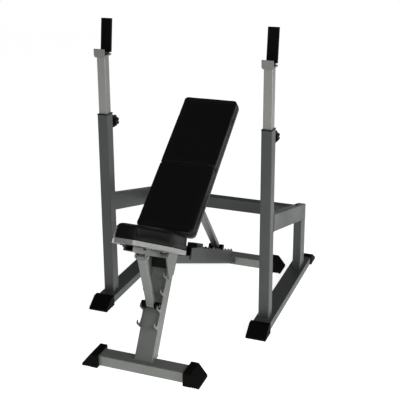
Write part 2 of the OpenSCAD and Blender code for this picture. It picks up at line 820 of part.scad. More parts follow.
// ---- backrest ----
module on_back() {
    on_bench() translate([0, back_at[0], back_at[1]]) rotate([BACK_TILT, 0, 0]) children();
}
module back_plan() {
    r = 27;
    translate([-pad_w / 2, 0]) rounded(pad_w, back_len, r);
}
module back_pad() {
    color("black") on_back() translate([0, 0, -back_pad_t]) linear_extrude(back_pad_t) back_plan();
}
module back_board() {
    color("dimgray") on_back() translate([0, 0, -back_under]) linear_extrude(back_board_t) back_plan();
}
// Tube up the middle of the board, its lower end carried down to the hinge barrel
module back_frame() {
    low = -back_under - back_tube_h;
    color("silver") on_back() difference() {
        union() {
            pad_tube(back_tube_w, back_tube_h, back_pivot_y, back_len - 50, -back_under, back_tabs);
            rod_x([back_pivot_y, back_pivot_z], barrel_d, leg_w - 1);
            across(-back_tube_w / 2, back_tube_w) polygon([
                [back_pivot_y, low + 1], [back_pivot_y + 110, low + 1], [back_pivot_y, back_pivot_z - barrel_d / 2]
            ]);
            strut_fork(back_joint_y, back_joint_z, low);
        }
        rod_x([back_pivot_y, back_pivot_z], pin_d + 2 * FIT_GAP, leg_w + 2);
    }
}
module back_bolts() { color("black") on_back() pad_bolts(back_tabs, -back_under); }
module back_strut_pin() { strut_pin(back_joint); }
module back_strut() { strut(back_joint, back_strut_end, back_bar_half); }
module back_strut_sleeves() { strut_sleeves(back_strut_end, back_sleeve_r, back_bar_half); }

left_base_rail();
right_base_rail();
left_upright();
right_upright();
left_guide_bush();
right_guide_bush();
left_rear_post();
right_rear_post();
left_side_rail();
right_side_rail();
rear_crossbar();
crossbar_bolts();
side_rail_plugs();
left_front_cap();
right_front_cap();
left_rear_cap();
right_rear_cap();
clamp_nuts();
left_inner_tube();
right_inner_tube();
left_bar_cradle();
right_bar_cradle();
left_guard_sleeve();
right_guard_sleeve();
left_clamp_stud();
right_clamp_stud();
left_clamp_knob();
right_clamp_knob();
bench_front_foot();
bench_rear_foot();
front_foot_left_cap();
front_foot_right_cap();
rear_foot_left_cap();
rear_foot_right_cap();
front_leg();
main_beam();
left_leg_hooks();
right_leg_hooks();
left_beam_rack();
right_beam_rack();
left_hinge_ear();
right_hinge_ear();
leg_top_cover();
strut_stop();
seat_hinge_pin();
back_hinge_pin();
seat_pad();
seat_board();
seat_frame();
seat_bolts();
seat_strut_pin();
seat_strut();
seat_strut_sleeves();
back_pad();
back_board();
back_frame();
back_bolts();
back_strut_pin();
back_strut();
back_strut_sleeves();
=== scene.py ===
# %% [markdown]
# # An olympic bench press: rack and adjustable bench
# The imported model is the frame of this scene. Steel tubes, pins, hooks, caps and knobs come from it as they
# are and only get a finish here. What is soft, stitched or welded is made in this file: the two pads are
# stuffed with a cloth simulation, and the seams' stitches and the weld beads grow along paths.

# %% Load the frame
import json
import math

import bmesh
import bpy
import numpy as np
from mathutils import Matrix, Vector


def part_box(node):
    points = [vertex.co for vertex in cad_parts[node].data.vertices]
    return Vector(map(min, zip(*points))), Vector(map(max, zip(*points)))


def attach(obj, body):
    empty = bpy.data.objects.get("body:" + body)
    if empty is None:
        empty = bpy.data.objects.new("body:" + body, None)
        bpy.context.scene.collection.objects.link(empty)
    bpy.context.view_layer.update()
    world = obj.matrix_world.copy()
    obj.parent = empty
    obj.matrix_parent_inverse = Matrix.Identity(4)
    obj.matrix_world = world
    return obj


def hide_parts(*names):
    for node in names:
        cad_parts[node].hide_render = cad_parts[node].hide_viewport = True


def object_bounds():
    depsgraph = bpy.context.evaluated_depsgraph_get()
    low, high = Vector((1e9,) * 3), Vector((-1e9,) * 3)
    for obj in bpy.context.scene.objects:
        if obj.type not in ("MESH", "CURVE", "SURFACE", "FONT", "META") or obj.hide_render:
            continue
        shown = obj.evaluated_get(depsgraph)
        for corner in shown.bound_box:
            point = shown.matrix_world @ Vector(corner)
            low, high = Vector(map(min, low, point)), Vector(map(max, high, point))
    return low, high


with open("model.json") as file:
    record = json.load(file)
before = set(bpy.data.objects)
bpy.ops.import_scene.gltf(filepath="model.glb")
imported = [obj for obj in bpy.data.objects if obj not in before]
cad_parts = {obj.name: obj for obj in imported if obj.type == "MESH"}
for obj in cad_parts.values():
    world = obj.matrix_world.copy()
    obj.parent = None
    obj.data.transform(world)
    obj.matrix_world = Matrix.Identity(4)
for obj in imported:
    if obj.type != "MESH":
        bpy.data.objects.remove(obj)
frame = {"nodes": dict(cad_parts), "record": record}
cad_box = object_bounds()
nodes = frame["nodes"]
print("nodes:", len(nodes), "size:", [round(v, 3) for v in cad_box[1] - cad_box[0]])

# %% [markdown]
# ## Colour management
# A product on white reads best with a plain view transform, where a white floor stays white. The default
# film-like transform would grey it. A gamma just under one deepens the blacks of the rubber and the vinyl.

# %% Set the view transform
VIEW_GAMMA = 0.9
scene = bpy.context.scene
scene.view_settings.view_transform = "Standard"
scene.view_settings.look = "None"
scene.view_settings.gamma = VIEW_GAMMA

# %% [markdown]
# ## A short way to write node trees
# Both shader and geometry trees are long to write one socket at a time. This helper adds a node, sets its
# plain values and joins the sockets that it is handed, so that a material reads like a recipe.


# %% Node helper
def add(tree, kind, settings=None, **inputs):
    """Adds a node. A socket given as a value is linked, and any other value is set on the input.

    An input is named with its spaces as underscores, or by its number as n0, n1 and so on.
    """
    made = tree.nodes.new(kind)
    for name, value in (settings or {}).items():
        setattr(made, name, value)
    for name, value in inputs.items():
        key = int(name[1:]) if name.startswith("n") else name.replace("_", " ")
        socket = made.inputs[key]
        if isinstance(value, bpy.types.NodeSocket):
            tree.links.new(value, socket)
        else:
            socket.default_value = value
    return made


def group_tree(name, kind, inputs, outputs):
    """Starts a node group with named sockets; returns the tree, its input node and its output node."""
    tree = bpy.data.node_groups.new(name, kind)
    for label, (socket_type, default) in inputs.items():
        socket = tree.interface.new_socket(name=label, in_out="INPUT", socket_type=socket_type)
        if default is not None:
            socket.default_value = default
    for label, socket_type in outputs.items():
        tree.interface.new_socket(name=label, in_out="OUTPUT", socket_type=socket_type)
    return tree, tree.nodes.new("NodeGroupInput"), tree.nodes.new("NodeGroupOutput")


FLOAT = "NodeSocketFloat"
COLOUR = "NodeSocketColor"

# %% [markdown]
# ## Effects that several finishes share
# Powder coat, rubber and moulded plastic all have a fine grain and a slow change of gloss over a hand's
# width; only the sizes differ. Dust gathers on whatever faces up. Each effect is one shader group, made once.


# %% Grain group
PATCH_LOW = 0.3
PATCH_HIGH = 0.7


def make_grain():
    """Fine bumps plus slow patches: gives a roughness, a bump height and a patch mask."""
    tree, given, out = group_tree(
        "Surface grain",
        "ShaderNodeTree",
        {
            "Grain scale": (FLOAT, 900.0),
            "Patch scale": (FLOAT, 7.0),
            "Smoothest": (FLOAT, 0.4),
            "Roughest": (FLOAT, 0.6),
        },
        {"Roughness": FLOAT, "Height": FLOAT, "Patches": FLOAT},
    )
    place = add(tree, "ShaderNodeTexCoord")
    fine = add(tree, "ShaderNodeTexNoise", Vector=place.outputs["Object"], Scale=given.outputs["Grain scale"],
               Detail=3.0, Roughness=0.6)
    slow = add(tree, "ShaderNodeTexNoise", Vector=place.outputs["Object"], Scale=given.outputs["Patch scale"],
               Detail=5.0, Roughness=0.65)
    spread = add(tree, "ShaderNodeMapRange", {"clamp": True}, Value=slow.outputs["Fac"],
                 From_Min=PATCH_LOW, From_Max=PATCH_HIGH, To_Min=given.outputs["Smoothest"],
                 To_Max=given.outputs["Roughest"])
    mask = add(tree, "ShaderNodeMapRange", {"clamp": True}, Value=slow.outputs["Fac"],
               From_Min=PATCH_LOW, From_Max=PATCH_HIGH)
    tree.links.new(spread.outputs["Result"], out.inputs["Roughness"])
    tree.links.new(fine.outputs["Fac"], out.inputs["Height"])
    tree.links.new(mask.outputs["Result"], out.inputs["Patches"])
    return tree


grain = make_grain()
print("group:", grain.name, [i.name for i in grain.interface.items_tree])


# %% Dust group
def make_dust():
    """A mask that grows on faces that look up and breaks up in small specks."""
    tree, given, out = group_tree(
        "Settled dust", "ShaderNodeTree", {"Amount": (FLOAT, 0.3)}, {"Mask": FLOAT}
    )
    place = add(tree, "ShaderNodeTexCoord")
    facing = add(tree, "ShaderNodeSeparateXYZ", Vector=add(tree, "ShaderNodeNewGeometry").outputs["Normal"])
    up = add(tree, "ShaderNodeMapRange", {"clamp": True}, Value=facing.outputs["Z"],
             From_Min=0.2, From_Max=1.0)
    specks = add(tree, "ShaderNodeTexNoise", Vector=place.outputs["Object"], Scale=60.0,
                 Detail=6.0, Roughness=0.7)
    broken = add(tree, "ShaderNodeMapRange", {"clamp": True}, Value=specks.outputs["Fac"],
                 From_Min=0.35, From_Max=0.75)
    both = add(tree, "ShaderNodeMath", {"operation": "MULTIPLY"}, n0=up.outputs["Result"],
               n1=broken.outputs["Result"])
    much = add(tree, "ShaderNodeMath", {"operation": "MULTIPLY"}, n0=both.outputs["Value"],
               n1=given.outputs["Amount"])
    tree.links.new(much.outputs["Value"], out.inputs["Mask"])
    return tree


dust = make_dust()


# %% Leather grain group
def make_hide():
    """Pebbles between creases, as pressed into vinyl: a height and a mask of the creases."""
    tree, given, out = group_tree(
        "Pressed hide",
        "ShaderNodeTree",
        {"Pebble scale": (FLOAT, 420.0)},
        {"Height": FLOAT, "Creases": FLOAT},
    )
    place = add(tree, "ShaderNodeTexCoord")
    warp = add(tree, "ShaderNodeTexNoise", Vector=place.outputs["Object"], Scale=120.0, Detail=2.0)
    bent = add(tree, "ShaderNodeVectorMath", {"operation": "MULTIPLY_ADD"}, n0=warp.outputs["Color"],
               n1=(0.004, 0.004, 0.004), n2=place.outputs["Object"])
    cells = add(tree, "ShaderNodeTexVoronoi", {"feature": "DISTANCE_TO_EDGE"}, Vector=bent.outputs["Vector"],
                Scale=given.outputs["Pebble scale"])
    dome = add(tree, "ShaderNodeMapRange", {"clamp": True}, Value=cells.outputs["Distance"],
               From_Min=0.0, From_Max=0.25)
    crease = add(tree, "ShaderNodeMath", {"operation": "SUBTRACT"}, n0=1.0, n1=dome.outputs["Result"])
    tree.links.new(dome.outputs["Result"], out.inputs["Height"])
    tree.links.new(crease.outputs["Value"], out.inputs["Creases"])
    return tree


hide = make_hide()


# %% Drawn steel group
def make_drawn():
    """Long fine lines along Z, left by drawing and plating a tube: a mask and a height."""
    tree, given, out = group_tree(
        "Drawn lines", "ShaderNodeTree", {"Line scale": (FLOAT, 700.0)}, {"Lines": FLOAT}
    )
    place = add(tree, "ShaderNodeTexCoord")
    stretch = add(tree, "ShaderNodeMapping", Vector=place.outputs["Object"], Scale=(1.0, 1.0, 0.02))
    lines = add(tree, "ShaderNodeTexNoise", Vector=stretch.outputs["Vector"],
                Scale=given.outputs["Line scale"], Detail=4.0, Roughness=0.6)
    tree.links.new(lines.outputs["Fac"], out.inputs["Lines"])
    return tree


drawn = make_drawn()

# %% [markdown]
# ## Finishes
# Each slot of the record gets one material. Two tones are mixed by the slow patches and by dust, gloss
# follows the grain group and a bump gives the fine relief. Only what changes over the surface is linked; the
# rest is set on the shader's own sockets.


# %% Material helper
DUST_TONE = (0.25, 0.245, 0.235, 1.0)
GRAIN_DEPTH = 0.0004


def finish(name, tone, second, smooth, rough, bump, metal=0.0, scale=900.0, dusty=0.15, level=0.5):
    """A painted or moulded surface: two tones, grain, dust and a fine bump."""
    material = bpy.data.materials.new(name)
    material.use_nodes = True
    tree = material.node_tree
    shader = tree.nodes["Principled BSDF"]
    shader.inputs["Metallic"].default_value = metal
    shader.inputs["Specular IOR Level"].default_value = level
    skin = add(tree, "ShaderNodeGroup", {"node_tree": grain}, Grain_scale=scale,
               Smoothest=smooth, Roughest=rough)
    settled = add(tree, "ShaderNodeGroup", {"node_tree": dust}, Amount=dusty)
    paint = add(tree, "ShaderNodeMix", {"data_type": "RGBA"}, n0=skin.outputs["Patches"],
                n6=(*tone, 1.0), n7=(*second, 1.0))
    dusted = add(tree, "ShaderNodeMix", {"data_type": "RGBA"}, n0=settled.outputs["Mask"],
                 n6=paint.outputs[2], n7=DUST_TONE)
    relief = add(tree, "ShaderNodeBump", Strength=bump, Distance=GRAIN_DEPTH,
                 Height=skin.outputs["Height"])
    tree.links.new(dusted.outputs[2], shader.inputs["Base Color"])
    tree.links.new(skin.outputs["Roughness"], shader.inputs["Roughness"])
    tree.links.new(relief.outputs["Normal"], shader.inputs["Normal"])
    return material


# %% [markdown]
# The rack is powder coated in dark grey, and so are the bench's beam and its toothed racks. The bench's leg,
# feet and struts are a lighter silver-grey. Both coats have a slight orange peel. The seat's board shows a
# bright silver edge, and the backrest's board is dark.

# %% Painted finishes
finishes = {
    "frame_paint": finish(
        "dark grey powder coat", (0.074, 0.081, 0.079), (0.09, 0.097, 0.095), 0.36, 0.5, 0.25,
        metal=0.3, scale=1100.0, dusty=0.12),
    "bench_paint": finish(
        "silver grey powder coat", (0.2, 0.21, 0.196), (0.24, 0.25, 0.234), 0.33, 0.47, 0.22,
        metal=0.35, scale=1100.0, dusty=0.12),
    "seat_board_paint": finish(
        "silver board edge", (0.34, 0.345, 0.335), (0.4, 0.405, 0.395), 0.26, 0.38, 0.2,
        metal=0.5, scale=600.0, dusty=0.1),
    "back_board_paint": finish(
        "dark board", (0.045, 0.047, 0.047), (0.06, 0.062, 0.062), 0.4, 0.55, 0.3,
        scale=700.0, dusty=0.1),
    "black_steel": finish(
        "black oxide", (0.012, 0.012, 0.012), (0.022, 0.022, 0.022), 0.35, 0.55, 0.2,
        metal=0.4, scale=800.0, dusty=0.1),
}

# %% [markdown]
# Rubber is matt; moulded plastic has a sharper grain and a little more gloss.

# %% Rubber and plastic
finishes["black_rubber"] = finish(
    "moulded rubber", (0.002, 0.0021, 0.0021), (0.004, 0.0042, 0.0042), 0.55, 0.75, 0.35,
    scale=500.0, dusty=0.006, level=0.08)
finishes["black_plastic"] = finish(
    "grained plastic", (0.006, 0.006, 0.0064), (0.01, 0.01, 0.0105), 0.38, 0.5, 0.45,
    scale=650.0, dusty=0.03, level=0.25)


# %% [markdown]
# The inner tubes and the plates are plated, not painted: metallic, with long drawn lines that break up the
# gloss. Zinc fasteners share the recipe with a coarser line.


# %% Plated finishes
def plated(name, tone, second, smooth, rough, lines):
    """Bare or plated steel with drawn lines in its gloss and relief."""
    material = bpy.data.materials.new(name)
    material.use_nodes = True
    tree = material.node_tree
    shader = tree.nodes["Principled BSDF"]
    shader.inputs["Metallic"].default_value = 0.75
    streaks = add(tree, "ShaderNodeGroup", {"node_tree": drawn}, Line_scale=lines)
    skin = add(tree, "ShaderNodeGroup", {"node_tree": grain}, Grain_scale=700.0,
               Smoothest=smooth, Roughest=rough)
    mixed = add(tree, "ShaderNodeMix", {"data_type": "RGBA"}, n0=streaks.outputs["Lines"],
                n6=(*tone, 1.0), n7=(*second, 1.0))
    uneven = add(tree, "ShaderNodeMath", {"operation": "MULTIPLY_ADD"}, n0=streaks.outputs["Lines"], n1=0.12,
                 n2=skin.outputs["Roughness"])
    relief = add(tree, "ShaderNodeBump", Strength=0.12, Distance=0.0003, Height=streaks.outputs["Lines"])
    tree.links.new(mixed.outputs[2], shader.inputs["Base Color"])
    tree.links.new(uneven.outputs["Value"], shader.inputs["Roughness"])
    tree.links.new(relief.outputs["Normal"], shader.inputs["Normal"])
    return material


finishes["inner_steel"] = plated(
    "satin plated tube", (0.29, 0.296, 0.28), (0.36, 0.366, 0.35), 0.3, 0.42, 700.0)
finishes["plate_steel"] = plated(
    "satin plated plate", (0.24, 0.246, 0.238), (0.32, 0.328, 0.318), 0.28, 0.4, 500.0)
finishes["zinc_steel"] = plated(
    "zinc plate", (0.3, 0.3, 0.285), (0.42, 0.42, 0.4), 0.3, 0.45, 300.0)


# %% [markdown]
# The covers are black vinyl with a pressed hide grain. A faint sheen lifts the edges. The creases are duller
# than the pebbles and painted darker, a painted shade in the hollows of the grain.


# %% Vinyl
def vinyl(name, tone, crease_shade_tone):
    """Black upholstery vinyl: pebbles, creases painted darker as shade, and a faint sheen."""
    material = bpy.data.materials.new(name)
    material.use_nodes = True
    tree = material.node_tree
    shader = tree.nodes["Principled BSDF"]
    shader.inputs["Specular IOR Level"].default_value = 0.22
    shader.inputs["Sheen Weight"].default_value = 0.02
    shader.inputs["Sheen Roughness"].default_value = 0.4
    skin = add(tree, "ShaderNodeGroup", {"node_tree": grain}, Grain_scale=1500.0, Patch_scale=9.0,
               Smoothest=0.3, Roughest=0.42)
    pebbles = add(tree, "ShaderNodeGroup", {"node_tree": hide}, Pebble_scale=430.0)
    # The creases take the second, darker tone: painted shade in the hollows of the grain.
    mixed = add(tree, "ShaderNodeMix", {"data_type": "RGBA"}, n0=pebbles.outputs["Creases"],
                n6=(*tone, 1.0), n7=(*crease_shade_tone, 1.0))
    dull = add(tree, "ShaderNodeMath", {"operation": "MULTIPLY_ADD"}, n0=pebbles.outputs["Creases"], n1=0.15,
               n2=skin.outputs["Roughness"])
    small = add(tree, "ShaderNodeBump", Strength=0.25, Distance=0.0003, Height=pebbles.outputs["Height"])
    tree.links.new(mixed.outputs[2], shader.inputs["Base Color"])
    tree.links.new(dull.outputs["Value"], shader.inputs["Roughness"])
    tree.links.new(small.outputs["Normal"], shader.inputs["Normal"])
    return material


# The second tone is the painted shade in the creases of the grain.
finishes["black_vinyl"] = vinyl("black vinyl", (0.0035, 0.0036, 0.0037), (0.002, 0.002, 0.002))
thread = finish(
    "black thread", (0.02, 0.02, 0.02), (0.03, 0.03, 0.03), 0.5, 0.65, 0.4,
    scale=3000.0, dusty=0.0)
print("finishes:", sorted(finishes))

# %% [markdown]
# ## Dress the CAD nodes
# The record says which slot each node takes. Only the material slot of a node's mesh is touched.

# %% Assign the finishes
slot_of = {part["node"]: part["material_slot"] for part in frame["record"]["subparts"]}
for name, piece in nodes.items():
    piece.data.materials.clear()
    piece.data.materials.append(finishes[slot_of[name]])
print("dressed:", len(slot_of))

# %% [markdown]
# ## Stuffed pads
# A gym pad is foam on a board under stretched vinyl. It is flat underneath, crowned on top and its sides
# swell between the seams. Modelling that by hand gives a soap bar; blowing up a thin closed skin with a
# pressure force gives the real tension. The skin starts a little smaller than the pad, its underside is
# pinned to the board, and the swelling is capped so that the pad keeps its size.

# %% Sizes of the pads and where they lie, in metres and radians
PAD_WIDTH = 0.324
NOSE_WIDTH = 0.112
SEAT_LENGTH = 0.420
SEAT_THICK = 0.070
SEAT_TILT = math.radians(-27.5)
BACK_LENGTH = 0.896
BACK_THICK = 0.050
BACK_TILT = math.radians(36.7)
SKIN_INSET = 0.002
SKIN_RIM = 0.005
VOXEL = 0.006
SWELL_CAP = 0.006
CROWN = 0.0055


def pad_place(node, tilt, length):
    """The matrix from a pad's own frame (y along it, z out of its face) to the row frame."""
    low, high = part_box(node)
    middle = (low.x + high.x) / 2
    if tilt < 0:
        corner = Vector((middle, high.y - length * math.cos(tilt), high.z))
    else:
        corner = Vector((middle, low.y, high.z - length * math.sin(tilt)))
    return Matrix.Translation(corner) @ Matrix.Rotation(tilt, 4, "X")


seat_place = pad_place("seat_pad", SEAT_TILT, SEAT_LENGTH)
back_place = pad_place("back_pad", BACK_TILT, BACK_LENGTH)
print("seat corner:", [round(v, 4) for v in seat_place.translation],
      "back corner:", [round(v, 4) for v in back_place.translation])


# %% Outlines
def arc(centre, radius, start, end, steps=6):
    """Points on a round corner, angles in degrees."""
    turns = [math.radians(start + (end - start) * i / steps) for i in range(steps + 1)]
    return [(centre[0] + radius * math.cos(a), centre[1] + radius * math.sin(a)) for a in turns]


def seat_outline(inset):
    """Plan of the seat, anticlockwise from the nose, drawn in by inset."""
    nose = NOSE_WIDTH / 2 - inset
    half = PAD_WIDTH / 2 - inset
    front, rear, shoulder = inset, SEAT_LENGTH - inset, SEAT_LENGTH / 2
    corner = 0.014
    right = arc((nose - corner, front + corner), corner, -90, -25)
    right += [(half - 0.006, shoulder - 0.012), (half, shoulder + 0.012)]
    right += arc((half - corner, rear - corner), corner, 0, 90)
    return right + [(-x, y) for x, y in reversed(right)]


def back_outline(inset):
    """Plan of the backrest: a rectangle with round corners, drawn in by inset."""
    half, low, high, corner = PAD_WIDTH / 2 - inset, inset, BACK_LENGTH - inset, 0.026
    points = arc((half - corner, low + corner), corner, -90, 0)
    points += arc((half - corner, high - corner), corner, 0, 90)
    points += arc((-half + corner, high - corner), corner, 90, 180)
    return points + arc((-half + corner, low + corner), corner, 180, 270)


# %% [markdown]
# The skin is remeshed into even small squares, because cloth folds badly on long triangles. The simulation
# runs twenty frames, is read once and is thrown away.


# %% Skin and stuffing
CLOTH_QUALITY = 5
CLOTH_MASS = 0.3
STUFFING_PRESSURE = 4.0
CLOTH_FRAMES = 20
PINNED_HEIGHT = 0.6 * VOXEL


def skin_of(name, outline, thick):
    """An evenly meshed closed skin over a slab with slightly rounded rims."""
    shape = bmesh.new()
    rings = []
    rim_profile = ((0.0, -SKIN_RIM), (SKIN_RIM * 0.35, -SKIN_RIM * 0.3), (SKIN_RIM, 0.0))
    for drawn_in, height in ((0.0, -thick), *rim_profile):
        rings.append([shape.verts.new((x, y, height)) for x, y in outline(SKIN_INSET + drawn_in)])
    for lower, upper in zip(rings, rings[1:]):
        for i in range(len(lower)):
            j = (i + 1) % len(lower)
            shape.faces.new((lower[i], lower[j], upper[j], upper[i]))
    shape.faces.new(rings[-1])
    shape.faces.new(list(reversed(rings[0])))
    bmesh.ops.recalc_face_normals(shape, faces=shape.faces)
    mesh = bpy.data.meshes.new(name)
    shape.to_mesh(mesh)
    shape.free()
    slab = bpy.data.objects.new(name, mesh)
    scene.collection.objects.link(slab)
    remesh = slab.modifiers.new("even squares", "REMESH")
    remesh.mode = "VOXEL"
    remesh.voxel_size = VOXEL
    even = bpy.data.meshes.new_from_object(slab.evaluated_get(bpy.context.evaluated_depsgraph_get()))
    slab.modifiers.clear()
    slab.data = even
    return slab


def stuff(pad, thick, cap):
    """Swells the skin with cloth pressure and moves no point further than cap."""
    rest = np.array([v.co for v in pad.data.vertices])
    pins = pad.vertex_groups.new(name="on the board")
    pins.add([v.index for v in pad.data.vertices if v.co.z < -thick + PINNED_HEIGHT], 1.0, "REPLACE")
    cloth = pad.modifiers.new("stuffing", "CLOTH")
    cloth.settings.quality = CLOTH_QUALITY
    cloth.settings.mass = CLOTH_MASS
    cloth.settings.vertex_group_mass = pins.name
    cloth.settings.use_pressure = True
    cloth.settings.uniform_pressure_force = STUFFING_PRESSURE
    cloth.settings.effector_weights.gravity = 0.0
    for step in range(1, CLOTH_FRAMES + 1):
        scene.frame_set(step)
    blown = pad.evaluated_get(bpy.context.evaluated_depsgraph_get()).data
    swollen = np.array([v.co for v in blown.vertices])
    scene.frame_set(1)
    pad.modifiers.remove(cloth)
    pad.vertex_groups.clear()
    move = swollen - rest
    far = np.maximum(np.linalg.norm(move, axis=1, keepdims=True), 1e-9)
    move *= cap * np.tanh(far / cap) / far
    return rest, move


# %% [markdown]
# Neighbouring points are averaged a few times after the cap, so that it leaves no step, and the pad is then
# subdivided once. Seams are pressed in last: a channel is a smooth trough across the face and down the sides,
# with the vinyl swelling a little on both sides of it.


# %% Smooth and subdivide
SETTLE_ROUNDS = 4
NEIGHBOUR_SHARE = 0.6


def settle(pad, rest, move):
    """Averages the movement over neighbours and applies it, then subdivides once."""
    edges = np.array([e.vertices[:] for e in pad.data.edges])
    count = np.zeros((len(rest), 1))
    np.add.at(count, edges[:, 0], 1.0)
    np.add.at(count, edges[:, 1], 1.0)
    for _ in range(SETTLE_ROUNDS):
        total = np.zeros_like(move)
        np.add.at(total, edges[:, 0], move[edges[:, 1]])
        np.add.at(total, edges[:, 1], move[edges[:, 0]])
        move = (1.0 - NEIGHBOUR_SHARE) * move + NEIGHBOUR_SHARE * total / count
    for vertex, place in zip(pad.data.vertices, rest + move):
        vertex.co = place
    finer = pad.modifiers.new("finer", "SUBSURF")
    finer.levels = finer.render_levels = 1
    smooth = bpy.data.meshes.new_from_object(pad.evaluated_get(bpy.context.evaluated_depsgraph_get()))
    pad.modifiers.clear()
    pad.data = smooth


def fill_outline(pad, length, crown):
    """Stretches a settled pad to the full width and length of its cover and to its crown's height."""
    points = np.array([v.co for v in pad.data.vertices])
    low, high = points.min(axis=0), points.max(axis=0)
    middle = np.array([0.0, length / 2, 0.0])
    grow = np.array([PAD_WIDTH / (high[0] - low[0]), length / (high[1] - low[1]), 1.0])
    shift = np.array([(low[0] + high[0]) / 2, (low[1] + high[1]) / 2, high[2] - crown])
    for vertex, place in zip(pad.data.vertices, (points - shift) * grow + middle):
        vertex.co = place


def press_channel(pad, thick, seam_y, depth, width, sides_only=False):
    """A sewn channel across a pad at seam_y, as deep on the face as on the sides."""
    for vertex in pad.data.vertices:
        x, y, z = vertex.co
        near = math.exp(-(((y - seam_y) / width) ** 2))
        ridge = 0.35 * math.exp(-(((abs(y - seam_y) - 2.4 * width) / (1.3 * width)) ** 2))
        press = (near - ridge) * depth
        side = max(0.0, min(1.0, (abs(x) - (PAD_WIDTH / 2 - 0.02)) / 0.02))
        low = max(0.0, min(1.0, (z + thick) / (0.35 * thick)))
        face = 0.0 if sides_only else max(0.0, min(1.0, (z + 0.35 * thick) / (0.3 * thick)))
        vertex.co.z -= press * face
        vertex.co.x -= math.copysign(press * side * low, x)


def press_fold(pad, thick, corner, depth, pitch):
    """Gathered pleats down a corner of the cover, deepest at the corner and gone at the rims."""
    for vertex in pad.data.vertices:
        reach = Vector((vertex.co.x - corner[0], vertex.co.y - corner[1]))
        if reach.length > 3.0 * pitch:
            continue
        along = reach.x * math.copysign(1.0, corner[0]) + reach.y
        fade = math.exp(-((along / (1.1 * pitch)) ** 2))
        tall = math.sin(math.pi * max(0.0, min(1.0, -vertex.co.z / thick)))
        lean = 0.35 * pitch * math.sin(2.0 * math.pi * vertex.co.z / thick)
        wave = math.cos(2.0 * math.pi * (along + lean) / pitch)
        away = Vector((math.copysign(0.6, corner[0]), -0.8, 0.0))
        vertex.co += away * (depth * wave * fade * tall)


def lay(pad, place, thick):
    """Flattens the underside on its board and moves the pad to its place in the row frame."""
    for vertex in pad.data.vertices:
        vertex.co.z = max(vertex.co.z, -thick)
    pad.data.transform(place)
    for face in pad.data.polygons:
        face.use_smooth = True


# %% The backrest pad
def make_pad(name, outline, length, thick, cap):
    """A stuffed pad in its own frame."""
    pad = skin_of(name, outline, thick)
    rest, move = stuff(pad, thick, cap)
    settle(pad, rest, move)
    fill_outline(pad, length, CROWN)
    return pad


BACK_SEAM = 0.416
BACK_TOP_NOTCH = 0.760
back_cover = make_pad("backrest_cover", back_outline, BACK_LENGTH, BACK_THICK, SWELL_CAP)
press_channel(back_cover, BACK_THICK, BACK_SEAM, 0.006, 0.006)
press_channel(back_cover, BACK_THICK, BACK_TOP_NOTCH, 0.004, 0.005, sides_only=True)
print("backrest pad:", len(back_cover.data.vertices), "points")

# %% The seat pad
SEAT_FOLDS = [(-NOSE_WIDTH / 2, 0.004), (NOSE_WIDTH / 2, 0.004)]
seat_cover = make_pad("seat_cover", seat_outline, SEAT_LENGTH, SEAT_THICK, SWELL_CAP)
for fold in SEAT_FOLDS:
    press_fold(seat_cover, SEAT_THICK, fold, 0.0036, 0.013)
print("seat pad:", len(seat_cover.data.vertices), "points")

# %% [markdown]
# ## Rows along a path
# Stitches and weld beads are the same thing at two sizes: a small rounded shape repeated along a line. One
# Geometry Nodes tree does both. It turns the path's edges into a curve, drops points on it at an even
# spacing, places a rounded bead on each one, turned along the path, and makes the result real.


# %% Bead tree
def make_bead_tree():
    """Beads along every path of the input mesh, with their size and spacing as inputs."""
    tree, given, out = group_tree(
        "Beads along a path",
        "GeometryNodeTree",
        {
            "Path": ("NodeSocketGeometry", None),
            "Spacing": (FLOAT, 0.004),
            "Length": (FLOAT, 0.004),
            "Width": (FLOAT, 0.002),
            "Unevenness": (FLOAT, 0.1),
            "Seed": ("NodeSocketInt", 1),
            "Finish": ("NodeSocketMaterial", None),
        },
        {"Beads": "NodeSocketGeometry"},
    )
    curve = add(tree, "GeometryNodeMeshToCurve", Mesh=given.outputs["Path"])
    points = add(tree, "GeometryNodeCurveToPoints", {"mode": "LENGTH"}, Curve=curve.outputs["Curve"],
                 Length=given.outputs["Spacing"])
    turned = add(tree, "FunctionNodeAlignRotationToVector", {"axis": "Z"}, Vector=points.outputs["Tangent"])
    bead = add(tree, "GeometryNodeMeshIcoSphere", Radius=0.5, Subdivisions=2)
    size = add(tree, "ShaderNodeCombineXYZ", X=given.outputs["Width"], Y=given.outputs["Width"],
               Z=given.outputs["Length"])
    least = add(tree, "ShaderNodeMath", {"operation": "SUBTRACT"}, n0=1.0, n1=given.outputs["Unevenness"])
    jitter = add(tree, "FunctionNodeRandomValue", {"data_type": "FLOAT"}, n2=least.outputs["Value"], n3=1.0,
                 Seed=given.outputs["Seed"])
    scaled = add(tree, "ShaderNodeVectorMath", {"operation": "SCALE"}, n0=size.outputs["Vector"],
                 Scale=jitter.outputs[1])
    placed = add(tree, "GeometryNodeInstanceOnPoints", Points=points.outputs["Points"],
                 Instance=bead.outputs["Mesh"], Rotation=turned.outputs["Rotation"],
                 Scale=scaled.outputs["Vector"])
    real = add(tree, "GeometryNodeRealizeInstances", Geometry=placed.outputs["Instances"])
    dressed = add(tree, "GeometryNodeSetMaterial", Geometry=real.outputs["Geometry"],
                  Material=given.outputs["Finish"])
    tree.links.new(dressed.outputs["Geometry"], out.inputs["Beads"])
    return tree


bead_tree = make_bead_tree()


